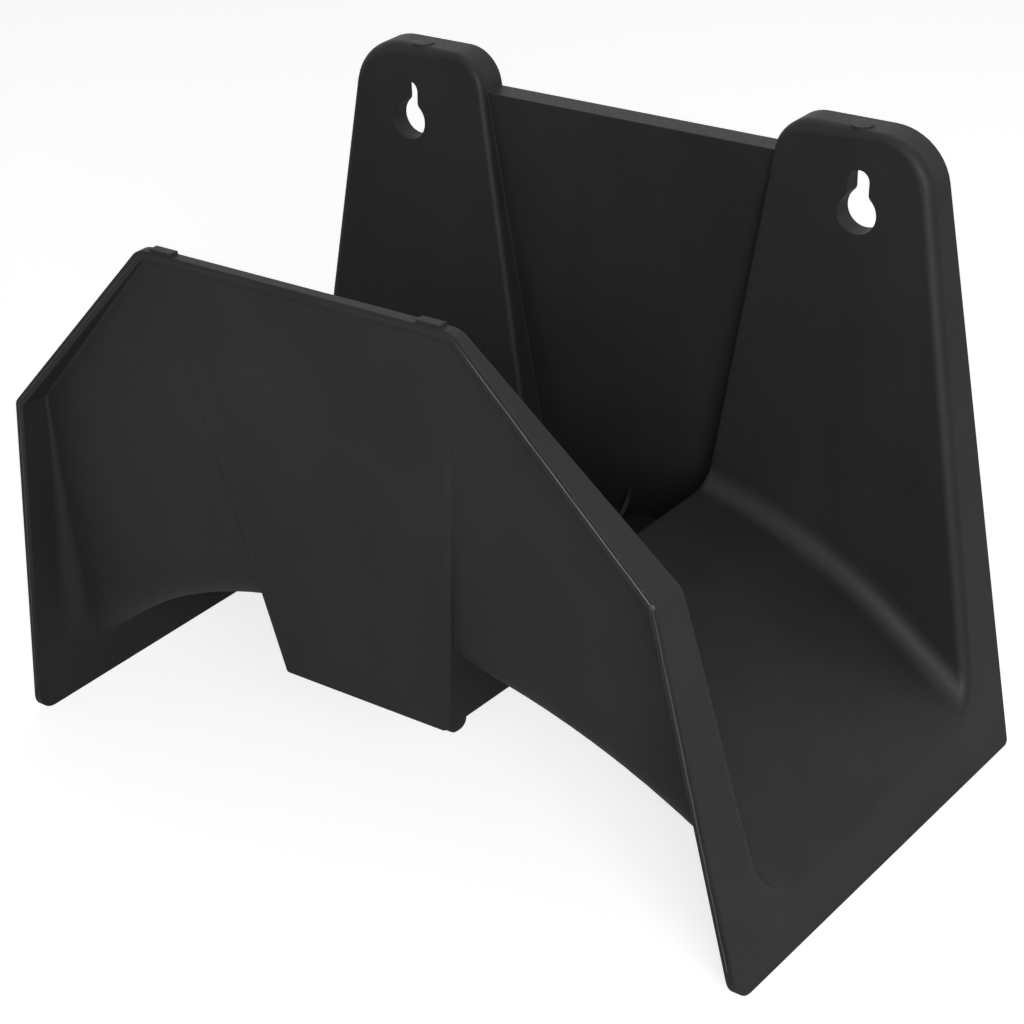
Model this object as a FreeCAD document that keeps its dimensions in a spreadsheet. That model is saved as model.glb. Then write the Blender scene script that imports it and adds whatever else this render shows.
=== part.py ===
"""Garden hose hanger, moulded in one piece.

Frame: millimetres, +Z up, +X to the right seen from the front, +Y into the wall. The wall is the plane
y = 0. The origin lies on it, midway between the end flanges, at the height of their rear feet.
Angles in the table of sizes are degrees.
"""

import FreeCAD
import Part
import Sketcher
import math
import os

from FreeCAD import Vector

X = Vector(1, 0, 0)
Y = Vector(0, 1, 0)

SIZES = [
    # Envelope: the end flanges lean inwards going up and draw in a little towards the front
    ("half_width", 150.0),
    ("flank_lean", 9.85),
    ("flank_taper", 1.02),
    ("wall", 3.0),
    ("foot_rise", 2.75),
    # Front edge of the rim: its distance from the wall at the feet, the shoulders and the top
    ("foot_depth", 178.2),
    ("shoulder_depth", 186.2),
    ("front_depth", 187.0),
    ("shoulder_height", 141.1),
    ("front_height", 207.7),
    ("front_half_top", 58.0),
    ("shoulder_slope", 46.05),
    # Back plate: two ears above a lower middle panel
    ("ear_height", 217.0),
    ("panel_height", 204.0),
    ("panel_depth", 9.5),
    ("ear_depth", 12.4),
    ("ear_lean", 3.43),
    # Trough between the front plate and the ears, over the arched saddle
    ("trough_front", 182.6),
    ("trough_front_lean", 8.66),
    ("saddle_crown", 85.5),
    ("saddle_radius", 196.0),
    ("saddle_arc_half", 118.0),
    ("front_bend", 14.0),
    ("rear_bend", 8.0),
    # Pocket in the middle of the saddle, open upwards
    ("pocket_half", 36.2),
    ("pocket_half_at", 65.0),
    ("pocket_lean", 8.8),
    ("pocket_taper", 1.8),
    ("pocket_floor", 52.6),
    ("pocket_front", 164.0),
    ("pocket_front_at", 58.0),
    ("pocket_front_lean", 6.85),
    ("lip_drop", 2.6),
    ("lip_depth", 9.0),
    # Keyholes in the ears, each through a collar
    ("keyhole_half_pitch", 89.8),
    ("keyhole_height", 189.8),
    ("keyhole_head", 13.8),
    ("keyhole_shank", 7.5),
    ("keyhole_rise", 10.7),
    ("keyhole_neck_round", 2.5),
    ("collar_wall", 2.6),
    ("collar_gap", 6.8),
    # Small features
    ("gusset_length", 11.0),
    ("gusset_rise", 10.5),
    ("gusset_width", 1.8),
    ("gusset_toe", 0.6),
    ("pad_offset", 49.2),
    ("pad_width", 8.4),
    ("pad_depth", 3.2),
    ("pad_setback", 0.5),
    ("pad_rise", 0.9),
    ("gate_offset", 87.0),
    ("gate_depth", 7.0),
    ("gate_width", 8.0),
    ("gate_rise", 0.4),
    # Roundings of the outer form
    ("front_top_round", 7.0),
    ("shoulder_round", 5.0),
    ("foot_round", 8.0),
    ("rear_foot_round", 2.0),
    ("ear_outer_round", 20.0),
    ("ear_inner_round", 13.0),
    # Roundings along the trough and the pocket, which run out to the strip behind the front edge
    ("opening_round", 4.0),
    ("opening_fade", 100.0),
    ("strip_round", 1.2),
    ("pocket_edge_round", 2.5),
    ("zone_split", 140.0),
    ("pocket_corner", 2.0),
    ("pocket_foot_corner", 2.5),
    ("lip_front_round", 6.5),
    ("lip_rear_round", 2.5),
    # Fillets in the hollow side, which run out to the strip behind the front edge
    ("recess_fill", 8.0),
    ("recess_fade", 60.0),
    ("strip_fill", 1.0),
    ("rear_fill", 3.0),
    ("ear_fill", 4.5),
]

doc = FreeCAD.newDocument("hose_hanger")
sheet = doc.addObject("Spreadsheet::Sheet", "sizes")
for row, (name, value) in enumerate(SIZES, start=1):
    sheet.set(f"A{row}", name)
    sheet.set(f"B{row}", str(value))
    sheet.setAlias(f"B{row}", name)
doc.recompute()

# How far the helper solids reach past the part, as expressions in the table's sizes
TOP = "(sizes.ear_height + 30)"
SIDE = "(sizes.half_width + 30)"
DEEP = "(sizes.front_depth + 30)"
MID = "(sizes.front_depth / 2)"
BEHIND = "10"
BELOW = "-20"


def size(name):
    """Value of one size of the table."""
    return getattr(sheet, name)


def value_of(text):
    """Number that an expression in the table's sizes stands for."""
    return float(sheet.evalExpression(text))


def new_body(label):
    """An empty body with its own origin planes."""
    body = doc.addObject("PartDesign::Body", label)
    body.Label = label
    doc.recompute()
    return body


def new_sketch(body, plane, name, lift=None):
    """Sketch on one of the body's origin planes, lifted along the plane's normal by an expression."""
    sketch = body.newObject("Sketcher::SketchObject", name)
    roles = {feature.Role: feature for feature in body.Origin.OriginFeatures}
    sketch.AttachmentSupport = [(roles[plane], "")]
    sketch.MapMode = "FlatFace"
    if lift:
        sketch.setExpression("AttachmentOffset.Base.z", lift)
    return sketch


def bind(sketch, kind, geometry, text):
    """Constraint of a sketch whose value follows an expression."""
    index = sketch.addConstraint(Sketcher.Constraint(kind, *geometry, value_of(text)))
    sketch.setExpression(f"Constraints[{index}]", text)


def pin(sketch, line, end, corner):
    """Hold one end of a sketch line at a corner given by two expressions."""
    for kind, text in zip(("DistanceX", "DistanceY"), corner):
        bind(sketch, kind, (-1, 1, line, end), text)


def outline(sketch, corners):
    """Closed outline of straight lines through corners given by pairs of expressions."""
    points = [Vector(value_of(x), value_of(y), 0) for x, y in corners]
    count = len(points)
    for index in range(count):
        sketch.addGeometry(Part.LineSegment(points[index], points[(index + 1) % count]))
    for index in range(count):
        sketch.addConstraint(Sketcher.Constraint("Coincident", index, 2, (index + 1) % count, 1))
    for index, corner in enumerate(corners):
        pin(sketch, index, 1, corner)


def pad(body, sketch, name, length, both_ways=False, backwards=False):
    """Solid that grows from a sketch by an expression's length."""
    feature = body.newObject("PartDesign::Pad", name)
    feature.Profile = sketch
    feature.setExpression("Length", length)
    feature.Midplane = both_ways
    feature.Reversed = backwards
    return feature


def side_solid(label, corners):
    """Solid with a side profile of (y, z) corners, as wide as the helper solids reach."""
    body = new_body(label)
    sketch = new_sketch(body, "YZ_Plane", label + "_outline")
    outline(sketch, corners)
    pad(body, sketch, label + "_pad", f"2 * {SIDE}", both_ways=True)
    return body


def front_solid(label, corners, near, far):
    """Solid with a front outline of (x, z) corners, from one distance off the wall to a larger one."""
    body = new_body(label)
    # the XZ plane's normal points out of the wall, to the front
    sketch = new_sketch(body, "XZ_Plane", label + "_outline", near)
    outline(sketch, corners)
    pad(body, sketch, label + "_pad", f"{far} - ({near})")
    return body


def mirrored(half):
    """Both halves of an outline whose right half is given from the bottom upwards."""
    return half + [(f"-({x})", z) for x, z in reversed(half)]


def slanted_block(label, half, at, lean, taper, low):
    """Block whose sides lean inwards going up and draw in towards the front.

    half is its half width at the height at, on the wall's plane.
    """
    body = new_body(label + "_right")
    sketch = new_sketch(body, "XY_Plane", label + "_foot", low)
    foot = f"{half} - ({low} - {at}) * tan({lean})"
    rear = f"({foot} + {BEHIND} * tan({taper}))"
    front = f"({foot} - {DEEP} * tan({taper}))"
    outline(sketch, [
        (rear, BEHIND),
        (f"-{SIDE}", BEHIND),
        (f"-{SIDE}", f"-{DEEP}"),
        (front, f"-{DEEP}"),
    ])
    feature = pad(body, sketch, label + "_pad", f"{TOP} - ({low})")
    feature.UseCustomVector = True
    feature.AlongSketchNormal = True
    feature.Direction = Vector(0, 0, 1)
    feature.setExpression("Direction.x", f"-tan({lean})")
    other = doc.addObject("Part::Mirroring", label + "_left")
    other.Source = body
    other.Normal = Vector(1, 0, 0)
    return common(label, body, other)


def join(kind, label, first, second):
    """Boolean of two objects: Part::Cut or Part::Common."""
    result = doc.addObject(kind, label)
    result.Base = first
    result.Tool = second
    return result


def fuse(label, *shapes):
    """One solid of several that touch."""
    result = doc.addObject("Part::MultiFuse", label)
    result.Shapes = list(shapes)
    return result


def common(label, *shapes):
    """What several solids share."""
    result = shapes[0]
    for count, shape in enumerate(shapes[1:], start=2):
        name = label if count == len(shapes) else f"{label}_{count}"
        result = join("Part::Common", name, result, shape)
    return result


def rounded(label, base, picks):
    """Fillet of picked edges: picks is a list of (radius, test of an edge).

    A radius is an expression, or a function that gives the radius at a point.
    """
    doc.recompute()
    result = doc.addObject("Part::Fillet", label)
    result.Base = base
    edges = []
    for radius, test in picks:
        for index, edge in enumerate(base.Shape.Edges, start=1):
            if not test(edge):
                continue
            if callable(radius):
                ends = [radius(vertex.Point) for vertex in (edge.Vertexes[0], edge.Vertexes[-1])]
            else:
                ends = [value_of(radius)] * 2
            edges.append((index, *ends))
    result.Edges = edges
    doc.recompute()
    return result


def fade(near, far, start, end):
    """Value that goes evenly from near to far while a place goes from start to end, and stays beyond."""
    def at(place):
        share = min(max((place - start) / (end - start), 0.0), 1.0)
        return near + (far - near) * share
    return at


def middle(edge):
    """Point halfway along an edge."""
    return edge.valueAt((edge.FirstParameter + edge.LastParameter) / 2)


def along(edge, axis):
    """True for a straight edge along an axis."""
    if edge.Curve.TypeId != "Part::GeomLine":
        return False
    return abs(abs(edge.tangentAt(edge.FirstParameter).dot(axis)) - 1) < 0.02


def on_surface(edge, shape):
    """True where the middle of an edge lies on the surface of a shape."""
    return Part.Vertex(middle(edge)).distToShape(Part.Compound(shape.Faces))[0] < 0.01


def level(edge, axis):
    """Range of an edge along an axis, as (low, high)."""
    box = edge.BoundBox
    return getattr(box, axis + "Min"), getattr(box, axis + "Max")


# Envelope of the whole hanger, and the same drawn in by the wall


def envelope(tag, inset, side_half):
    """Front and rear half of the hanger's outer form, drawn in by inset."""
    flanks = slanted_block(f"flanks_{tag}", side_half, "0", "sizes.flank_lean", "sizes.flank_taper", BELOW)
    drop = f"{inset} / cos(sizes.shoulder_slope)"
    corner = f"(sizes.front_half_top - {inset} * tan(sizes.shoulder_slope / 2))"
    front_top = f"(sizes.front_height - {inset})"
    run = f"({SIDE} - sizes.front_half_top) * tan(sizes.shoulder_slope)"
    front = front_solid(f"front_outline_{tag}", mirrored([
        (SIDE, BELOW),
        (SIDE, f"sizes.front_height - {drop} - {run}"),
        (corner, front_top),
    ]), MID, DEEP)
    rear = front_solid(f"rear_outline_{tag}", mirrored([
        (SIDE, BELOW),
        (SIDE, f"sizes.ear_height - {inset}"),
    ]), f"-{BEHIND}", MID)
    front_sharp = common(f"front_half_{tag}", flanks, front)
    rear_sharp = common(f"rear_half_{tag}", flanks, rear)
    doc.recompute()
    shoulder = value_of("sizes.shoulder_height")
    ridge = value_of(front_top)
    front_round = rounded(f"front_round_{tag}", front_sharp, [
        (f"sizes.front_top_round - {inset}",
         lambda edge: along(edge, Y) and abs(middle(edge).z - ridge) < 0.1),
        (f"sizes.shoulder_round - {inset}",
         lambda edge: along(edge, Y) and abs(middle(edge).z - shoulder) < 12),
    ])
    rear_round = rounded(f"rear_round_{tag}", rear_sharp, [
        (f"sizes.ear_outer_round - {inset}",
         lambda edge: along(edge, Y) and middle(edge).z > shoulder),
    ])
    both = fuse(f"envelope_{tag}", front_round, rear_round)
    both.Refine = True
    return both


side_profile = side_solid("side_profile", [
    ("0", "0"),
    ("0", TOP),
    ("-sizes.front_depth", TOP),
    ("-sizes.front_depth", "sizes.front_height"),
    ("-sizes.shoulder_depth", "sizes.shoulder_height"),
    ("-sizes.foot_depth", "sizes.foot_depth * tan(sizes.foot_rise)"),
])
doc.recompute()
side_rounded = rounded("side_rounded", side_profile, [
    ("sizes.foot_round", lambda edge: along(edge, X) and middle(edge).z < 30 and middle(edge).y < -50),
    ("sizes.rear_foot_round", lambda edge: along(edge, X) and middle(edge).z < 30 and middle(edge).y > -50),
])
envelope_outer = envelope("outer", "0", "sizes.half_width")
hollow = envelope("inner", "sizes.wall", "(sizes.half_width - sizes.wall / cos(sizes.flank_lean))")
block = common("block", envelope_outer, side_rounded)

# Trough: what lies between the front plate and the ears, above the saddle


def trough(tag, grow):
    """The trough's hollow, or the same with its walls' thickness added."""
    front = f"-(sizes.trough_front + ({{0}} - sizes.front_height) * tan(sizes.trough_front_lean) + {grow})"
    rear = f"-(sizes.ear_depth + (sizes.ear_height - {{0}}) * tan(sizes.ear_lean) - {grow})"
    wedge = side_solid(f"trough_wedge_{tag}", [
        (front.format("0"), "0"),
        (rear.format("0"), "0"),
        (rear.format(TOP), TOP),
        (front.format(TOP), TOP),
    ])
    body = new_body(f"saddle_space_{tag}")
    sketch = new_sketch(body, "XZ_Plane", f"saddle_outline_{tag}")
    radius = value_of(f"sizes.saddle_radius - {grow}")
    centre = value_of("sizes.saddle_crown - sizes.saddle_radius")
    swing = math.asin(size("saddle_arc_half") / size("saddle_radius"))
    right = Vector(radius * math.sin(swing), centre + radius * math.cos(swing), 0)
    reach = value_of(SIDE)
    end = Vector(reach, right.y - (reach - right.x) * math.tan(swing), 0)
    top = value_of(TOP)
    circle = Part.Circle(Vector(0, centre, 0), Vector(0, 0, 1), radius)
    # the saddle's arc, then counterclockwise over the top
    sketch.addGeometry(Part.ArcOfCircle(circle, math.pi / 2 - swing, math.pi / 2 + swing))
    points = [
        right,
        end,
        Vector(reach, top, 0),
        Vector(-reach, top, 0),
        Vector(-end.x, end.y, 0),
        Vector(-right.x, right.y, 0),
    ]
    for index in range(5):
        sketch.addGeometry(Part.LineSegment(points[index], points[index + 1]))
    for index in range(1, 5):
        sketch.addConstraint(Sketcher.Constraint("Coincident", index, 2, index + 1, 1))
    sketch.addConstraint(Sketcher.Constraint("PointOnObject", 0, 3, -2))
    arc_end = f"sizes.saddle_arc_half * (sizes.saddle_radius - {grow}) / sizes.saddle_radius"
    for kind, geometry, text in (
        ("Radius", (0,), f"sizes.saddle_radius - {grow}"),
        ("DistanceY", (-1, 1, 0, 3), "sizes.saddle_crown - sizes.saddle_radius"),
        ("DistanceX", (-1, 1, 0, 1), arc_end),
        ("DistanceX", (-1, 1, 0, 2), f"-{arc_end}"),
    ):
        bind(sketch, kind, geometry, text)
    sketch.addConstraint(Sketcher.Constraint("Tangent", 0, 1, 1, 1))
    sketch.addConstraint(Sketcher.Constraint("Tangent", 5, 2, 0, 2))
    pin(sketch, 3, 1, (SIDE, TOP))
    pin(sketch, 3, 2, (f"-{SIDE}", TOP))
    for line in (2, 4):
        sketch.addConstraint(Sketcher.Constraint("Vertical", line))
    pad(body, sketch, f"saddle_space_{tag}_pad", DEEP)

    sharp = common(f"trough_sharp_{tag}", wedge, body)
    doc.recompute()
    half = value_of(MID)
    crown = size("saddle_crown")

    def floor_edge(edge):
        return level(edge, "Z")[1] < crown + 1 and edge.BoundBox.XLength > 10 and edge.BoundBox.YLength < 30

    return rounded(f"trough_{tag}", sharp, [
        (f"sizes.front_bend + {grow}", lambda edge: floor_edge(edge) and middle(edge).y < -half),
        (f"sizes.rear_bend + {grow}", lambda edge: floor_edge(edge) and middle(edge).y > -half),
    ])


trough_space = trough("space", "0")
trough_skin = trough("skin", "sizes.wall")

# Pocket: the slot between the ears, down through the saddle, with the notch over the middle panel


def pocket(tag, grow, sink="0"):
    """The pocket's hollow, or the same with its walls' thickness added and its floor sunk."""
    half = f"(sizes.pocket_half + {grow} + 15 * tan(sizes.pocket_taper))"
    lean = "(-sizes.pocket_lean)"
    sides = slanted_block(
        f"pocket_sides_{tag}", half, "sizes.pocket_half_at", lean, "sizes.pocket_taper", "0")
    tilt = "tan(sizes.foot_rise)"
    slope = "tan(sizes.pocket_front_lean)"
    floor = f"(sizes.pocket_floor - {grow} - {sink})"
    front = f"(sizes.pocket_front + {grow})"
    rise = f"({floor} + {front} * {tilt})"
    panel = f"(sizes.panel_depth - {grow})"
    profile = side_solid(f"pocket_profile_{tag}", [
        (f"-{panel}", f"{floor} + {panel} * {tilt}"),
        (f"-{panel}", f"sizes.panel_height - {grow}"),
        (BEHIND, f"sizes.panel_height - {grow}"),
        (BEHIND, TOP),
        (f"-({front} + ({TOP} - sizes.pocket_front_at) * {slope})", TOP),
        (f"-({front} + ({rise} - sizes.pocket_front_at) * {slope})", rise),
    ])
    return common(f"pocket_{tag}", sides, profile)


def front_crease(edge):
    """True for the upright edges where the pocket's sides meet its front wall."""
    return level(edge, "Y")[1] < -size("pocket_front") + 10 and edge.BoundBox.ZLength > 50


def foot_edge(edge):
    """True for the lower edges of the pocket's sides, which run along its floor."""
    return level(edge, "Z")[1] < size("pocket_floor") + 10 and edge.BoundBox.XLength < 20


pocket_space = pocket("space", "0")
pocket_skin_sharp = pocket("skin_sharp", "sizes.wall")
column_sharp = pocket("column_sharp", "sizes.wall", "2 * (sizes.lip_drop + sizes.wall)")

# a hem hangs below the pocket's floor along its front wall
lip_front = "(sizes.pocket_front + sizes.wall)"
lip_low = f"(sizes.pocket_floor - sizes.wall - sizes.lip_drop + {lip_front} * tan(sizes.foot_rise))"
lip_top = f"({lip_low} + sizes.lip_drop + 2 * sizes.wall)"
lip_near = f"-({lip_front} + ({lip_low} - sizes.pocket_front_at) * tan(sizes.pocket_front_lean))"
lip_sharp = side_solid("lip_profile", [
    (f"{lip_near} + sizes.lip_depth", lip_low),
    (f"{lip_near} + sizes.lip_depth", lip_top),
    (f"{lip_near} - ({lip_top} - {lip_low}) * tan(sizes.pocket_front_lean)", lip_top),
    (lip_near, lip_low),
])
doc.recompute()
pocket_skin = rounded("pocket_skin", pocket_skin_sharp, [
    ("sizes.pocket_corner", front_crease),
    ("sizes.pocket_foot_corner", foot_edge),
])
column = rounded("pocket_column", column_sharp, [("sizes.pocket_corner", front_crease)])
lip_foot = value_of(f"{lip_low} + 1")
lip_middle = value_of(f"{lip_near} + sizes.lip_depth / 2")
lip_bent = rounded("lip_bent", lip_sharp, [
    ("sizes.lip_front_round",
     lambda edge: along(edge, X) and level(edge, "Z")[1] < lip_foot and middle(edge).y < lip_middle),
    ("sizes.lip_rear_round",
     lambda edge: along(edge, X) and level(edge, "Z")[1] < lip_foot and middle(edge).y > lip_middle),
])
pocket_lip = common("pocket_lip", column, lip_bent)

# Outer form with the trough and the pocket carved out, its edges rounded zone by zone

space = fuse("space", trough_space, pocket_space)
carved = join("Part::Cut", "carved", block, space)
doc.recompute()
ear_top = size("ear_height")
bend_top = value_of("sizes.saddle_crown + sizes.rear_bend")
ears = rounded("ears", carved, [
    ("sizes.ear_inner_round",
     lambda edge: along(edge, Y) and abs(middle(edge).z - ear_top) < 0.1 and abs(middle(edge).x) < 70),
])
outer_surface = block.Shape
trough_surface = trough_space.Shape
pocket_surface = pocket_space.Shape


def zone(label, corners):
    """The part of the carved form within a side profile."""
    return common(label, ears, side_solid(label + "_bounds", corners))


def on_trough_and(edge, shape):
    """True for an edge where the trough's surface meets that of another shape."""
    return on_surface(edge, trough_surface) and on_surface(edge, shape)


rear_zone = zone("rear_zone", [
    (BEHIND, BELOW),
    (BEHIND, TOP),
    ("-sizes.zone_split", TOP),
    ("-sizes.zone_split", BELOW),
])
front_zone = zone("front_zone", [
    ("-sizes.zone_split", BELOW),
    ("-sizes.zone_split", TOP),
    (f"-{DEEP}", TOP),
    (f"-{DEEP}", BELOW),
])
strip_from = value_of("sizes.shoulder_height - sizes.shoulder_round")
flank_to_strip = fade(size("opening_round"), size("strip_round"), size("opening_fade"), strip_from)
ear_edge = fade(
    size("pocket_edge_round"), size("opening_round"),
    value_of("sizes.front_half_top + sizes.ear_inner_round + 5"), size("keyhole_half_pitch"))
split = -size("zone_split") + 0.1
softened = fuse(
    "softened",
    rounded("rear_zone_round", rear_zone, [
        (lambda place: ear_edge(abs(place.x)),
         lambda edge: on_surface(edge, trough_surface) and level(edge, "Y")[1] > split
         and middle(edge).z > bend_top),
        ("sizes.opening_round",
         lambda edge: on_trough_and(edge, outer_surface) and middle(edge).z < size("saddle_crown")),
        ("sizes.pocket_edge_round",
         lambda edge: on_trough_and(edge, pocket_surface) and middle(edge).z < bend_top),
    ]),
    rounded("front_zone_round", front_zone, [
        (lambda place: flank_to_strip(place.z), lambda edge: on_trough_and(edge, outer_surface)),
    ]),
)
softened.Refine = True
doc.recompute()

# Hollow side: the envelope drawn in by the wall, less the skins of the trough and the pocket

skin = fuse("skin", trough_skin, pocket_skin, pocket_lip)
core_sharp = join("Part::Cut", "core_sharp", hollow, skin)
doc.recompute()
recess = fade(size("recess_fill"), size("strip_fill"), size("recess_fade"), strip_from)
half_depth = value_of(MID)


def core_radius(place):
    """Radius of the hollow side's fillet at a place."""
    return recess(place.z) if place.y < -half_depth else size("rear_fill")


skin_surface = trough_skin.Shape
hollow_surface = hollow.Shape
core_round = rounded("core_round", core_sharp, [
    (core_radius, lambda edge: on_surface(edge, skin_surface) and on_surface(edge, hollow_surface)
     and middle(edge).z < size("panel_height")),
])

# behind the rounding of the ears' inner corners the hollow is cut off at a slant, so the wall stays
roof = "(sizes.ear_height - sizes.wall)"
nook = f"(sizes.pocket_half + sizes.wall + ({roof} - sizes.pocket_half_at) * tan(sizes.pocket_lean))"
fills = []
for name, side in (("left", "-"), ("right", "")):
    fills.append(front_solid(f"ear_fill_{name}", [
        (f"{side}({nook} - 10)", f"{roof} - sizes.ear_fill - 10"),
        (f"{side}({nook} + sizes.ear_fill + 10)", f"{roof} + 10"),
        (f"{side}({nook} - 10)", f"{roof} + 10"),
    ], f"-{BEHIND}", MID))
core = join("Part::Cut", "core", core_round, fuse("ear_fills", *fills))
shell = join("Part::Cut", "shell", softened, core)

# Keyholes: each is a large round for the screw's head below a small one for its shank


def keyhole(label, side, grow, near, far):
    """Keyhole-shaped solid in one ear, from one distance off the wall to a larger one."""
    body = new_body(label)
    sketch = new_sketch(body, "XZ_Plane", label + "_outline", near)
    centre = f"{side}sizes.keyhole_half_pitch"
    top = "sizes.keyhole_height + sizes.keyhole_rise"
    head = f"sizes.keyhole_head / 2 + {grow}"
    shank = f"sizes.keyhole_shank / 2 + {grow}"
    low = Vector(value_of(centre), size("keyhole_height"), 0)
    high = Vector(value_of(centre), value_of(top), 0)
    big, small = value_of(head), value_of(shank)
    turn = math.acos(small / big)
    neck = Vector(small, big * math.sin(turn), 0)
    normal = Vector(0, 0, 1)
    sketch.addGeometry(Part.ArcOfCircle(Part.Circle(low, normal, big), math.pi - turn, 2 * math.pi + turn))
    sketch.addGeometry(Part.LineSegment(low + neck, high + Vector(small, 0, 0)))
    sketch.addGeometry(Part.ArcOfCircle(Part.Circle(high, normal, small), 0, math.pi))
    sketch.addGeometry(Part.LineSegment(high - Vector(small, 0, 0), low + Vector(-neck.x, neck.y, 0)))
    sketch.addConstraint(Sketcher.Constraint("Coincident", 0, 2, 1, 1))
    sketch.addConstraint(Sketcher.Constraint("Tangent", 1, 2, 2, 1))
    sketch.addConstraint(Sketcher.Constraint("Tangent", 2, 2, 3, 1))
    sketch.addConstraint(Sketcher.Constraint("Coincident", 3, 2, 0, 1))
    for line in (1, 3):
        sketch.addConstraint(Sketcher.Constraint("Vertical", line))
    for kind, geometry, text in (
        ("DistanceX", (-1, 1, 0, 3), centre),
        ("DistanceY", (-1, 1, 0, 3), "sizes.keyhole_height"),
        ("DistanceX", (-1, 1, 2, 3), centre),
        ("DistanceY", (-1, 1, 2, 3), top),
        ("Radius", (0,), head),
        ("Radius", (2,), shank),
    ):
        bind(sketch, kind, geometry, text)
    pad(body, sketch, label + "_pad", f"{far} - ({near})")
    doc.recompute()
    neck_height = low.y + neck.y
    return rounded(label + "_rounded", body, [
        ("sizes.keyhole_neck_round",
         lambda edge: along(edge, Y) and abs(middle(edge).z - neck_height) < 0.1),
    ])


collars = []
keyholes = []
for name, side in (("left", "-"), ("right", "")):
    collars.append(
        keyhole(f"collar_{name}", side, "sizes.collar_wall", "sizes.collar_gap", "sizes.ear_depth"))
    keyholes.append(keyhole(f"keyhole_{name}", side, "0", f"-{BEHIND}", MID))

# Gusset between the pocket's floor and the middle panel, with a hollow front

gusset_low = "(sizes.pocket_floor + sizes.panel_depth * tan(sizes.foot_rise))"
gusset_block = doc.addObject("Part::Box", "gusset_block")
gusset_block.setExpression("Length", "sizes.gusset_width")
gusset_block.setExpression("Width", "sizes.gusset_length + sizes.wall / 2")
gusset_block.setExpression("Height", "sizes.gusset_rise + sizes.wall / 2")
gusset_block.setExpression("Placement.Base.x", "-sizes.gusset_width / 2")
gusset_block.setExpression("Placement.Base.y", "-sizes.panel_depth - sizes.gusset_length")
gusset_block.setExpression("Placement.Base.z", f"{gusset_low} - sizes.wall / 2")
gusset_scoop = doc.addObject("Part::Cylinder", "gusset_scoop")
gusset_scoop.setExpression("Radius", "sizes.gusset_length")
gusset_scoop.setExpression("Height", "2 * sizes.gusset_width")
gusset_scoop.Placement.Rotation = FreeCAD.Rotation(Y, 90)
gusset_scoop.setExpression("Placement.Base.x", "-sizes.gusset_width")
gusset_scoop.setExpression("Placement.Base.y", "-sizes.panel_depth - sizes.gusset_length")
gusset_scoop.setExpression("Placement.Base.z", f"{gusset_low} + sizes.gusset_length + sizes.gusset_toe")
gusset = join("Part::Cut", "gusset", gusset_block, gusset_scoop)

# Pads on the front plate's top edge and gate marks on the ears' tops

extras = []
for name, side in (("left", "-"), ("right", "")):
    stud = doc.addObject("Part::Box", f"pad_{name}")
    stud.setExpression("Length", "sizes.pad_width")
    stud.setExpression("Width", "sizes.pad_depth")
    stud.setExpression("Height", "sizes.pad_rise + sizes.wall / 2")
    stud.setExpression("Placement.Base.x", f"{side}sizes.pad_offset - sizes.pad_width / 2")
    stud.setExpression("Placement.Base.y", "-sizes.front_depth + sizes.pad_setback")
    stud.setExpression("Placement.Base.z", "sizes.front_height - sizes.wall / 2")
    mark = doc.addObject("Part::Cylinder", f"gate_{name}")
    mark.setExpression("Radius", "sizes.gate_width / 2")
    mark.setExpression("Height", "sizes.gate_rise + sizes.wall / 2")
    mark.setExpression("Placement.Base.x", f"{side}sizes.gate_offset")
    mark.setExpression("Placement.Base.y", "-sizes.gate_depth")
    mark.setExpression("Placement.Base.z", "sizes.ear_height - sizes.wall / 2")
    extras += [stud, mark]

body_solid = fuse("body_solid", shell, *collars, gusset, *extras)
hanger = join("Part::Cut", "hanger_shell", body_solid, fuse("keyholes", *keyholes))
hanger.Placement = FreeCAD.Placement()
doc.recompute()

for obj in doc.Objects:
    if "Invalid" in obj.State or "Error" in obj.State:
        raise RuntimeError(f"{obj.Label} could not be built: {obj.State}")
if hanger.Shape.isNull() or not hanger.Shape.isValid() or len(hanger.Shape.Solids) != 1:
    raise RuntimeError("hanger_shell is not one valid solid")
os.makedirs("parts", exist_ok=True)
hanger.Shape.exportStep(f"parts/{hanger.Label}.step")
print(f"hanger_shell: {hanger.Shape.Volume / 1000:.1f} cm3, {hanger.Shape.BoundBox}")
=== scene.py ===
"""Looks of the moulded hose hanger: charcoal plastic, the marks of its mould with a painted highlight on
the flash, a pale studio and the camera.

Metres, in the part's own frame: +Z up, +X to the right seen from the front, +Y into the wall.
"""

import logging
import math
from dataclasses import dataclass, field
from enum import Enum

import bmesh
import bpy
from mathutils import Matrix, Vector


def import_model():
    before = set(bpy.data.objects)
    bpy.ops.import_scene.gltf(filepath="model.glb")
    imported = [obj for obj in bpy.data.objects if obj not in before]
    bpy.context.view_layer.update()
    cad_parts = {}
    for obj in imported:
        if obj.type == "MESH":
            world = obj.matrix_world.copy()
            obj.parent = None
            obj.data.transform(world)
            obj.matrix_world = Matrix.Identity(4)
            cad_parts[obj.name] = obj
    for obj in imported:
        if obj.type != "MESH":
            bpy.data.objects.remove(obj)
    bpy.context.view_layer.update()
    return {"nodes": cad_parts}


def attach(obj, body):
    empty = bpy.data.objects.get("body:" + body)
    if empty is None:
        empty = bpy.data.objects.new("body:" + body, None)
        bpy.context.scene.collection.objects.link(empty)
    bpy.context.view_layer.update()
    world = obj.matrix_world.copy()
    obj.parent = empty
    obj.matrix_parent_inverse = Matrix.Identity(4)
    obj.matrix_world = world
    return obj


LOG = logging.getLogger("hose_hanger")
MM = 0.001
IMAGE_PX = 1024
ROOT = "root"
SHELL_NODE = "hanger_shell"
WHITE = (1.0, 1.0, 1.0)
NOISE_LOW = 0.3
NOISE_HIGH = 0.7
NOISE_ROUGHNESS = 0.55
CLOUD_DETAIL = 3.0
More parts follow.
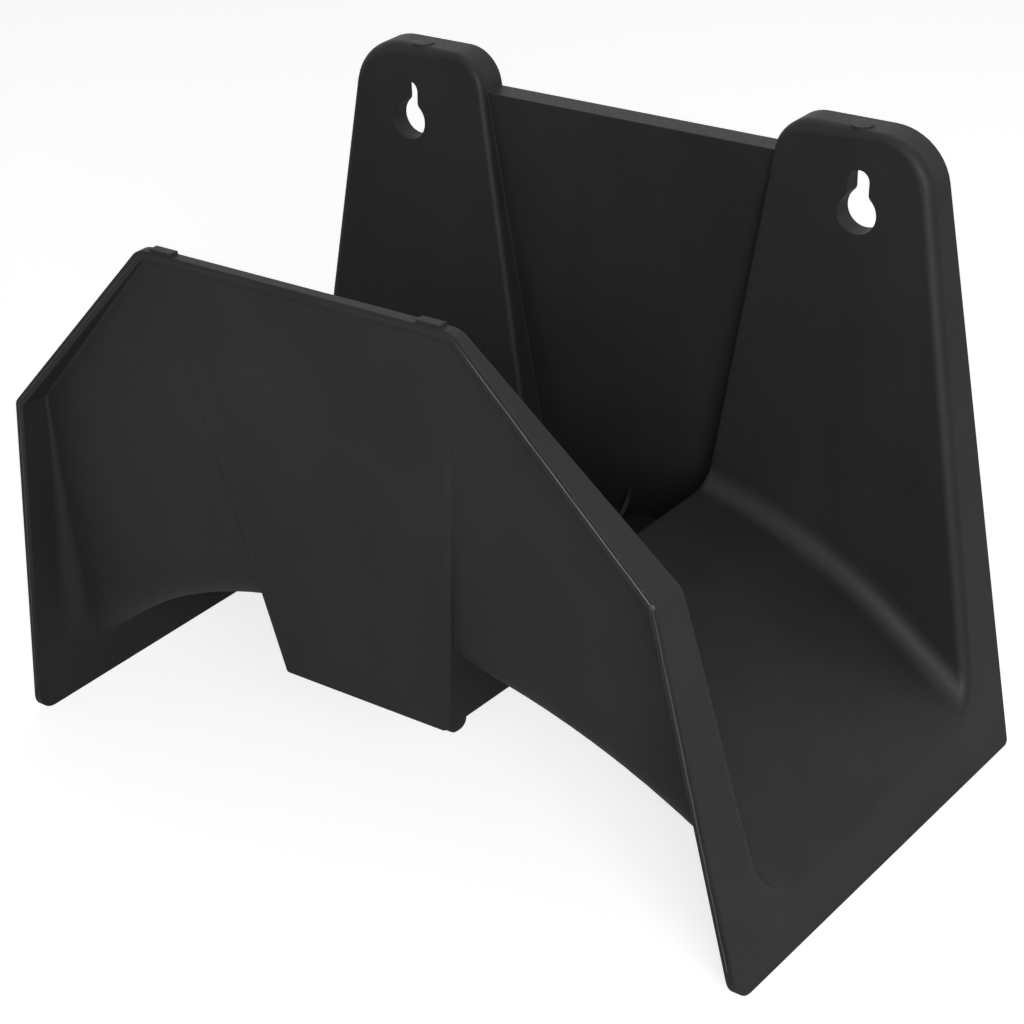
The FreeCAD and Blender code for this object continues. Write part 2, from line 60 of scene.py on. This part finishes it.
GRAIN_DETAIL = 2.0
MIX_FIRST = 6
MIX_SECOND = 7
MIX_RESULT = 2
TOWARDS_FRONT = (0.0, -1.0, 0.0)

Colour = tuple[float, float, float]
Point = tuple[float, float, float]


class Side(Enum):
    """The two mirrored halves of the hanger, as signs of X."""

    LEFT = -1
    RIGHT = 1


class Grain(Enum):
    """How coarse a moulded surface is, as cycles of its noise to the metre."""

    FINE = 2600.0
    COARSE = 900.0


class NodeGraph:
    """Short hand for wiring the nodes of a material or a world.

    Attributes:
        hard_share: where the soft rim of a ball begins, as a share of its radius.
    """

    hard_share: float = 0.85

    def __init__(self, owner: bpy.types.Material | bpy.types.World) -> None:
        """Start from an empty tree.

        Args:
            owner: what the tree belongs to.
        """
        owner.use_nodes = True
        self.tree = owner.node_tree
        self.tree.nodes.clear()

    def add(self, kind: str, **values: object) -> bpy.types.Node:
        """Add a node and set its named input sockets or properties.

        Args:
            kind: the node's class name.
            **values: property names, or input names with underscores for spaces.

        Returns:
            The new node.
        """
        node = self.tree.nodes.new(kind)
        for name, value in values.items():
            title = name.replace("_", " ")
            if title in node.inputs:
                node.inputs[title].default_value = value
            else:
                setattr(node, name, value)
        return node

    def link(self, source: bpy.types.NodeSocket, target: bpy.types.NodeSocket) -> None:
        """Join an output socket to an input socket.

        Args:
            source: the output.
            target: the input.
        """
        self.tree.links.new(source, target)

    def math(self, operation: str, first: bpy.types.NodeSocket, second: bpy.types.NodeSocket,
             clamp: bool = False) -> bpy.types.NodeSocket:
        """Work out a value from two others.

        Args:
            operation: name of the operation.
            first: socket of the first value.
            second: socket of the second value.
            clamp: whether the result is kept between 0 and 1.

        Returns:
            The result's socket.
        """
        node = self.add("ShaderNodeMath", operation=operation, use_clamp=clamp)
        self.link(first, node.inputs[0])
        self.link(second, node.inputs[1])
        return node.outputs["Value"]

    def choose(self, factor: bpy.types.NodeSocket, first: bpy.types.NodeSocket,
               second: bpy.types.NodeSocket) -> bpy.types.NodeSocket:
        """Go from one shader to another with a factor.

        Args:
            factor: socket of the factor.
            first: shader at 0.
            second: shader at 1.

        Returns:
            The mixed shader's socket.
        """
        node = self.add("ShaderNodeMixShader")
        self.link(factor, node.inputs[0])
        self.link(first, node.inputs[1])
        self.link(second, node.inputs[2])
        return node.outputs["Shader"]

    def finish(self, kind: str, surface: bpy.types.NodeSocket) -> None:
        """Give the surface to the output.

        Args:
            kind: class name of the output node.
            surface: socket of the shader.
        """
        self.link(surface, self.add(kind).inputs["Surface"])

    def noise(self, place: bpy.types.NodeSocket, scale: float, detail: float) -> bpy.types.Node:
        """Noise over a place.

        Args:
            place: socket of the coordinates.
            scale: cycles to the metre.
            detail: how many finer layers it has.

        Returns:
            The noise node.
        """
        node = self.add("ShaderNodeTexNoise", Scale=scale, Detail=detail, Roughness=NOISE_ROUGHNESS)
        self.link(place, node.inputs["Vector"])
        return node

    def spread_noise(self, source: bpy.types.Node, to_low: float, to_high: float) -> bpy.types.NodeSocket:
        """Map the usual range of a noise onto another, clamped.

        Args:
            source: the noise node.
            to_low: what its low values become.
            to_high: what its high values become.

        Returns:
            The mapped value's socket.
        """
        return self.spread(source.outputs["Fac"], NOISE_LOW, NOISE_HIGH, to_low, to_high)

    def spread(self, source: bpy.types.NodeSocket, low: float, high: float,
               to_low: float, to_high: float) -> bpy.types.NodeSocket:
        """Map one range of a value onto another, clamped.

        Args:
            source: socket of the value.
            low: start of its range.
            high: end of its range.
            to_low: what the start becomes.
            to_high: what the end becomes.

        Returns:
            The mapped value's socket.
        """
        node = self.add("ShaderNodeMapRange")
        self.link(source, node.inputs["Value"])
        for name, value in (("From Min", low), ("From Max", high), ("To Min", to_low), ("To Max", to_high)):
            node.inputs[name].default_value = value
        return node.outputs["Result"]

    def blend(self, factor: bpy.types.NodeSocket, first: Colour, second: Colour) -> bpy.types.NodeSocket:
        """Colour that goes from one to another with a factor.

        Args:
            factor: socket of the factor.
            first: colour at 0.
            second: colour at 1.

        Returns:
            The colour's socket.
        """
        node = self.add("ShaderNodeMix", data_type="RGBA")
        self.link(factor, node.inputs[0])
        node.inputs[MIX_FIRST].default_value = (*first, 1.0)
        node.inputs[MIX_SECOND].default_value = (*second, 1.0)
        return node.outputs[MIX_RESULT]

    def over(self, factor: bpy.types.NodeSocket, under: bpy.types.NodeSocket,
             colour: Colour) -> bpy.types.NodeSocket:
        """Lay a plain colour over another with a factor.

        Args:
            factor: socket of the factor.
            under: socket of the colour below.
            colour: the colour laid over it.

        Returns:
            The colour's socket.
        """
        node = self.add("ShaderNodeMix", data_type="RGBA")
        self.link(factor, node.inputs[0])
        self.link(under, node.inputs[MIX_FIRST])
        node.inputs[MIX_SECOND].default_value = (*colour, 1.0)
        return node.outputs[MIX_RESULT]

    def near(self, place: bpy.types.NodeSocket, centre: Point, radius: float) -> bpy.types.NodeSocket:
        """Ball around a point, with a narrow soft rim.

        Args:
            place: socket of the coordinates.
            centre: middle of the ball.
            radius: its radius.

        Returns:
            The ball's socket, 1 inside and 0 outside.
        """
        node = self.add("ShaderNodeVectorMath", operation="DISTANCE")
        self.link(place, node.inputs[0])
        node.inputs[1].default_value = tuple(centre)
        return self.spread(node.outputs["Value"], self.hard_share * radius, radius, 1.0, 0.0)


@dataclass(frozen=True)
class CharcoalPlastic:
    """Semi-matte charcoal plastic with a fine spark-eroded grain and faint flow marks."""

    name: str = "charcoal_plastic"
    dark: Colour = (0.0124, 0.0125, 0.0129)
    light: Colour = (0.0182, 0.0183, 0.0188)
    smooth: float = 0.46
    rough: float = 0.58
    ior: float = 1.48
    shine: float = 0.19
    cloud_scale: float = 22.0
    cloud_share: float = 0.6
    flow_scale: float = 60.0
    flow_stretch: Point = (1.0, 1.0, 0.22)
    flow_share: float = 0.4
    speck_scale: float = 120.0
    speck_size: float = 0.12
    speck_share: float = 0.3
    grain_share: float = 0.7
    grain_low: float = 0.2
    grain_high: float = 0.8
    grain_depth: float = 0.03 * MM
    grain_strength: float = 0.35
    edge_softness: float = 0.7 * MM
    edge_samples: int = 6
    gates: tuple[Point, ...] = ((-0.0885, -0.0082, 0.2172), (0.0855, -0.0048, 0.2172))
    gate_radius: float = 2.6 * MM
    gate_bite: Point = (1.3 * MM, -1.82 * MM, 0.0)
    gate_colour: Colour = (0.0420, 0.0420, 0.0425)

    def gate_mark(self, graph: NodeGraph, place: bpy.types.NodeSocket, gate: Point) -> bpy.types.NodeSocket:
        """Half-moon where the moulding was broken off its gate.

        Args:
            graph: the material's graph.
            place: socket of the coordinates.
            gate: middle of the mark.

        Returns:
            The mark's socket, 1 on the half-moon and 0 off it.
        """
        centre = Vector(gate)
        inside = graph.near(place, centre, self.gate_radius)
        bite = graph.near(place, centre + Vector(self.gate_bite), self.gate_radius)
        return graph.math("SUBTRACT", inside, bite, clamp=True)

    def build(self) -> bpy.types.Material:
        """Wire the plastic.

        Returns:
            The finished material.
        """
        material = bpy.data.materials.new(self.name)
        graph = NodeGraph(material)
        place = graph.add("ShaderNodeTexCoord").outputs["Object"]
        shader = graph.add("ShaderNodeBsdfPrincipled")
        shader.inputs["IOR"].default_value = self.ior
        shader.inputs["Specular IOR Level"].default_value = self.shine
        graph.link(self.colour(graph, place), shader.inputs["Base Color"])
        coarse = graph.noise(place, Grain.COARSE.value, GRAIN_DETAIL)
        graph.link(graph.spread_noise(coarse, self.smooth, self.rough), shader.inputs["Roughness"])
        graph.link(self.surface(graph, place), shader.inputs["Normal"])
        graph.finish("ShaderNodeOutputMaterial", shader.outputs["BSDF"])
        return material

    def colour(self, graph: NodeGraph, place: bpy.types.NodeSocket) -> bpy.types.NodeSocket:
        """Wire the clouded colour with its flow marks and gate marks.

        Args:
            graph: the material's graph.
            place: socket of the coordinates.

        Returns:
            The colour's socket.
        """
        cloud = graph.noise(place, self.cloud_scale, CLOUD_DETAIL)
        stretch = graph.add("ShaderNodeMapping", vector_type="POINT")
        stretch.inputs["Scale"].default_value = self.flow_stretch
        graph.link(place, stretch.inputs["Vector"])
        flow = graph.noise(stretch.outputs["Vector"], self.flow_scale, GRAIN_DETAIL)
        mottle = graph.math("ADD", graph.spread_noise(cloud, 0.0, self.cloud_share),
                            graph.spread_noise(flow, 0.0, self.flow_share))
        colour = graph.blend(mottle, self.dark, self.light)
        for gate in self.gates:
            colour = graph.over(self.gate_mark(graph, place, gate), colour, self.gate_colour)
        return colour

    def surface(self, graph: NodeGraph, place: bpy.types.NodeSocket) -> bpy.types.NodeSocket:
        """Wire the fine grain and specks, and soften the edges under them.

        Args:
            graph: the material's graph.
            place: socket of the coordinates.

        Returns:
            The normal's socket.
        """
        fine = graph.noise(place, Grain.FINE.value, GRAIN_DETAIL)
        speck = graph.add("ShaderNodeTexVoronoi", Scale=self.speck_scale)
        graph.link(place, speck.inputs["Vector"])
        grain = graph.spread(fine.outputs["Fac"], self.grain_low, self.grain_high, 0.0, self.grain_share)
        specks = graph.spread(speck.outputs["Distance"], 0.0, self.speck_size, 0.0, self.speck_share)
        soft_edge = graph.add("ShaderNodeBevel", samples=self.edge_samples, Radius=self.edge_softness)
        bump = graph.add("ShaderNodeBump", Strength=self.grain_strength, Distance=self.grain_depth)
        graph.link(graph.math("ADD", grain, specks), bump.inputs["Height"])
        graph.link(soft_edge.outputs["Normal"], bump.inputs["Normal"])
        return bump.outputs["Normal"]


@dataclass(frozen=True)
class FlashWithPaintedHighlight:
    """The same plastic where the mould squeezed a thin line of it out, lightened with a painted highlight
    so that the line shows bright.
    """

    name: str = "flash_plastic_painted_highlight"
    dark: Colour = (0.016, 0.016, 0.0163)
    # light: painted highlight colour, lighter than the plastic, that makes the flash line show bright
    light: Colour = (0.040, 0.040, 0.041)
    roughness: float = 0.42
    highlight_patch_scale: float = 140.0
    grain_depth: float = 0.04 * MM
    grain_strength: float = 0.3

    def build(self) -> bpy.types.Material:
        """Wire the flash's plastic and its painted highlight.

        Returns:
            The finished material.
        """
        material = bpy.data.materials.new(self.name)
        graph = NodeGraph(material)
        place = graph.add("ShaderNodeTexCoord").outputs["Object"]
        # patches of painted highlight: noise mixes the flash from its plastic colour towards the painted
        # highlight colour
        highlight_patches = graph.noise(place, self.highlight_patch_scale, CLOUD_DETAIL)
        shader = graph.add("ShaderNodeBsdfPrincipled")
        graph.link(graph.blend(highlight_patches.outputs["Fac"], self.dark, self.light), shader.inputs["Base Color"])
        shader.inputs["Roughness"].default_value = self.roughness
        fine = graph.noise(place, Grain.COARSE.value, GRAIN_DETAIL)
        bump = graph.add("ShaderNodeBump", Strength=self.grain_strength, Distance=self.grain_depth)
        graph.link(fine.outputs["Fac"], bump.inputs["Height"])
        graph.link(bump.outputs["Normal"], shader.inputs["Normal"])
        graph.finish("ShaderNodeOutputMaterial", shader.outputs["BSDF"])
        return material


@dataclass(frozen=True)
class PaperFloor:
    """Pale floor that shows white where it is lit and keeps a soft shadow."""

    name: str = "pale_floor"
    bounce: Colour = (0.78, 0.78, 0.78)
    shown: Colour = (0.55, 0.55, 0.55)
    lift: float = 0.74

    def build(self) -> bpy.types.Material:
        """Wire the floor.

        Returns:
            The finished material.
        """
        material = bpy.data.materials.new(self.name)
        graph = NodeGraph(material)
        bounce = graph.add("ShaderNodeBsdfDiffuse", Color=(*self.bounce, 1.0))
        shown = graph.add("ShaderNodeBsdfDiffuse", Color=(*self.shown, 1.0))
        glow = graph.add("ShaderNodeEmission", Strength=self.lift)
        both = graph.add("ShaderNodeAddShader")
        graph.link(shown.outputs["BSDF"], both.inputs[0])
        graph.link(glow.outputs["Emission"], both.inputs[1])
        seen = graph.add("ShaderNodeLightPath").outputs["Is Camera Ray"]
        either = graph.choose(seen, bounce.outputs["BSDF"], both.outputs["Shader"])
        graph.finish("ShaderNodeOutputMaterial", either)
        return material


@dataclass
class Shell:
    """The moulded body: the CAD solid, dressed in its plastic."""

    finish: CharcoalPlastic = field(default_factory=CharcoalPlastic)

    def dress(self, node: bpy.types.Object) -> None:
        """Give the CAD node its plastic.

        Args:
            node: the frame's object, whose mesh stays as it is.
        """
        material = self.finish.build()
        if not node.material_slots:
            node.data.materials.append(material)
        for slot in node.material_slots:
            slot.material = material


@dataclass
class PartingLine:
    """Thin bead where the mould's halves met, along the middle of the front rim."""

    half_width: float = 150.0 * MM
    flank_lean: float = math.radians(9.85)
    flank_taper: float = math.radians(1.02)
    wall: float = 3.0 * MM
    foot_depth: float = 178.2 * MM
    shoulder_depth: float = 186.2 * MM
    front_depth: float = 187.0 * MM
    shoulder_height: float = 141.1 * MM
    front_height: float = 207.7 * MM
    front_half_top: float = 58.0 * MM
    foot_clear: float = 20.0 * MM
    top_inset: float = 0.6 * MM
    top_end: float = 11.6 * MM
    bead: float = 0.20 * MM
    bead_least: float = 0.02 * MM
    bead_half: float = 0.28 * MM
    sunk: float = 0.15 * MM
    step: float = 5.0 * MM
    sway: float = 0.07 * MM
    sway_turn: float = 1.7
    uneven: float = 0.25
    uneven_turn: float = 2.3
    nib: float = 1.1 * MM
    nib_flatness: float = 0.6
    nib_sunk: float = 0.11 * MM
    # the flash's plastic, lightened with a painted highlight so the bead and nib show bright
    finish: FlashWithPaintedHighlight = field(default_factory=FlashWithPaintedHighlight)

    def depth_at(self, height: float) -> float:
        """Find how far the rim's front face stands from the wall.

        Args:
            height: the height on the rim.

        Returns:
            The distance.
        """
        if height < self.shoulder_height:
            share = height / self.shoulder_height
            return self.foot_depth + (self.shoulder_depth - self.foot_depth) * share
        share = (height - self.shoulder_height) / (self.front_height - self.shoulder_height)
        return self.shoulder_depth + (self.front_depth - self.shoulder_depth) * share

    def corners(self, side: Side) -> list[Point]:
        """Find the corners of the rim's middle line.

        Args:
            side: the half that they are on.

        Returns:
            The corners, from the foot to the top.
        """
        half = self.wall / 2

        def flank(height: float) -> float:
            """Find the middle of the rim at a height on the flank.

            Args:
                height: the height.

            Returns:
                Its distance from the hanger's middle.
            """
            lean = height * math.tan(self.flank_lean)
            taper = self.depth_at(height) * math.tan(self.flank_taper)
            return self.half_width - lean - taper - half

        heights = (self.foot_clear, self.shoulder_height)
        points = [(side.value * flank(z), z) for z in heights]
        points.append((side.value * (self.front_half_top - self.top_inset), self.front_height - half))
        points.append((side.value * self.top_end, self.front_height - half))
        return [(x, -self.depth_at(z), z) for x, z in points]

    def places(self, side: Side) -> list[Vector]:
        """Walk the middle line in short steps.

        Args:
            side: the half that it is on.

        Returns:
            The places, a little uneven as flash is.
        """
        walk: list[Vector] = []
        corners = [Vector(corner) for corner in self.corners(side)]
        for start, end in zip(corners, corners[1:]):
            count = max(2, round((end - start).length / self.step))
            for number in range(count):
                place = start.lerp(end, number / count)
                place.x += self.sway * math.sin(self.sway_turn * len(walk))
                walk.append(place)
        walk.append(corners[-1])
        return walk

    def height_of(self, place: Vector, number: int) -> float:
        """Find how far the bead stands out at a place, less where the rim is foremost.

        Args:
            place: the place on the middle line.
            number: its number in the walk.

        Returns:
            The height of the bead's crest.
        """
        wave = 1.0 - self.uneven + self.uneven * math.sin(self.uneven_turn * number)
        return max(self.bead_least, min(self.bead * wave, self.front_depth + place.y))

    def build(self) -> list[bpy.types.Object]:
        """Build the beads of both sides and the nib.

        Returns:
            The pieces.
        """
        material = self.finish.build()
        pieces = [self.build_bead(side, material) for side in Side]
        pieces.append(self.build_nib(material))
        return pieces

    def build_bead(self, side: Side, material: bpy.types.Material) -> bpy.types.Object:
        """Build the bead of one side.

        Args:
            side: the half that it is on.
            material: its plastic, lightened with a painted highlight.

        Returns:
            The bead.
        """
        mesh = bmesh.new()
        walk = self.places(side)
        rings = []
        for number, place in enumerate(walk):
            ahead = walk[min(number + 1, len(walk) - 1)] - walk[max(number - 1, 0)]
            across = ahead.cross(Vector(TOWARDS_FRONT)).normalized() * self.bead_half
            back = place - Vector(TOWARDS_FRONT) * self.sunk
            crest = place + Vector(TOWARDS_FRONT) * self.height_of(place, number)
            rings.append([mesh.verts.new(corner) for corner in (back - across, crest, back + across)])
        for first, second in zip(rings, rings[1:]):
            for one, two in ((0, 1), (1, 2), (2, 0)):
                mesh.faces.new((first[one], first[two], second[two], second[one]))
        mesh.faces.new(rings[0])
        mesh.faces.new(reversed(rings[-1]))
        return self.place_piece(mesh, f"parting_bead_{side.name.lower()}", material)

    def build_nib(self, material: bpy.types.Material) -> bpy.types.Object:
        """Build the small nib that the mould left at the right shoulder.

        Args:
            material: its plastic, lightened with a painted highlight.

        Returns:
            The nib.
        """
        shoulder = Vector(self.corners(Side.RIGHT)[1])
        mesh = bmesh.new()
        bmesh.ops.create_icosphere(mesh, subdivisions=2, radius=self.nib)
        for vert in mesh.verts:
            vert.co.y *= self.nib_flatness
            vert.co += shoulder - Vector(TOWARDS_FRONT) * self.nib_sunk
        return self.place_piece(mesh, "parting_nib", material)

    def place_piece(self, mesh: bmesh.types.BMesh, name: str,
                    material: bpy.types.Material) -> bpy.types.Object:
        """Make an object of a mesh and let it ride with the hanger.

        Args:
            mesh: the mesh, which is freed.
            name: the piece's name.
            material: its plastic.

        Returns:
            The object.
        """
        bmesh.ops.recalc_face_normals(mesh, faces=mesh.faces)
        data = bpy.data.meshes.new(name)
        mesh.to_mesh(data)
        mesh.free()
        data.materials.append(material)
        piece = bpy.data.objects.new(name, data)
        bpy.context.scene.collection.objects.link(piece)
        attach(piece, ROOT)
        return piece


@dataclass(frozen=True)
class Lamp:
    """Square soft lamp: its name, its place, its side and its power in watts."""

    name: str
    place: Point
    size: float
    watts: float

    def hang(self, aim: Point) -> None:
        """Hang the lamp.

        Args:
            aim: the point that it faces.
        """
        lamp = bpy.data.lights.new(self.name, "AREA")
        lamp.shape = "SQUARE"
        lamp.size = self.size
        lamp.energy = self.watts
        holder = bpy.data.objects.new(self.name, lamp)
        holder.location = self.place
        holder.rotation_mode = "QUATERNION"
        holder.rotation_quaternion = (Vector(aim) - Vector(self.place)).to_track_quat("-Z", "Y")
        bpy.context.scene.collection.objects.link(holder)


@dataclass
class Studio:
    """Floor that the feet stand on, soft lamps and a world that shows white."""

    foot_tilt: float = math.radians(2.75)
    floor_reach: float = 6.0
    finish: PaperFloor = field(default_factory=PaperFloor)
    ambient: float = 0.22
    centre: Point = (0.0, -0.09, 0.10)
    lamps: tuple[Lamp, ...] = (
        Lamp("key_lamp", (0.80, -0.95, 0.50), 0.7, 14.5),
        Lamp("fill_lamp", (-0.90, -1.20, 0.35), 0.7, 0.3),
        Lamp("top_lamp", (0.10, 0.35, 1.50), 0.9, 5.0),
    )

    def lay_floor(self) -> bpy.types.Object:
        """Lay the floor under the four feet.

        Returns:
            The floor.
        """
        mesh = bpy.data.meshes.new("floor")
        reach = self.floor_reach
        corners = [(-reach, -reach, 0), (reach, -reach, 0), (reach, reach, 0), (-reach, reach, 0)]
        mesh.from_pydata(corners, [], [(0, 1, 2, 3)])
        floor = bpy.data.objects.new("floor", mesh)
        floor.matrix_world = Matrix.Rotation(-self.foot_tilt, 4, "X")
        mesh.materials.append(self.finish.build())
        bpy.context.scene.collection.objects.link(floor)
        return floor

    def light(self) -> None:
        """Hang the lamps and set the world."""
        for lamp in self.lamps:
            lamp.hang(self.centre)
        world = bpy.data.worlds.new("studio_air")
        graph = NodeGraph(world)
        soft = graph.add("ShaderNodeBackground", Color=(*WHITE, 1.0), Strength=self.ambient)
        white = graph.add("ShaderNodeBackground", Color=(*WHITE, 1.0), Strength=1.0)
        seen = graph.add("ShaderNodeLightPath").outputs
        straight = graph.math("MAXIMUM", seen["Is Camera Ray"], seen["Is Glossy Ray"])
        through = graph.math("MAXIMUM", straight, seen["Is Transmission Ray"])
        either = graph.choose(through, soft.outputs["Background"], white.outputs["Background"])
        graph.finish("ShaderNodeOutputWorld", either)
        bpy.context.scene.world = world


@dataclass
class PhotoCamera:
    """Camera at the photograph's place and angle."""

    place: Point = (0.40554, -0.63933, 0.46466)
    forward: Point = (-0.5167, 0.7086, -0.4806)
    up: Point = (-0.2542, 0.4090, 0.8764)
    focal_px: float = 2312.44
    sensor_mm: float = 36.0
    clip_start: float = 0.01
    clip_end: float = 50.0

    def set_up(self) -> bpy.types.Object:
        """Make the camera and give it to the scene.

        Returns:
            The camera's object.
        """
        data = bpy.data.cameras.new("photo_camera")
        data.sensor_width = self.sensor_mm
        data.lens = self.focal_px * self.sensor_mm / IMAGE_PX
        data.clip_start = self.clip_start
        data.clip_end = self.clip_end
        camera = bpy.data.objects.new("photo_camera", data)
        back = -Vector(self.forward).normalized()
        right = Vector(self.up).cross(back).normalized()
        up = back.cross(right)
        turn = Matrix((right, up, back)).transposed().to_4x4()
        camera.matrix_world = Matrix.Translation(self.place) @ turn
        bpy.context.scene.collection.objects.link(camera)
        bpy.context.scene.camera = camera
        return camera


def main() -> None:
    """Load the frame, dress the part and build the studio."""
    logging.basicConfig(level=logging.INFO, format="%(name)s: %(message)s")
    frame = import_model()
    bpy.context.scene.view_settings.view_transform = "Standard"
    shell = Shell()
    shell.dress(frame["nodes"][SHELL_NODE])
    LOG.info("dressed %s", SHELL_NODE)
    for piece in PartingLine().build():
        LOG.info("built %s", piece.name)
    studio = Studio()
    studio.lay_floor()
    studio.light()
    LOG.info("laid the floor and hung the lamps")
    PhotoCamera().set_up()
    LOG.info("set the camera")
    bpy.context.view_layer.update()


if __name__ == "__main__":
    main()
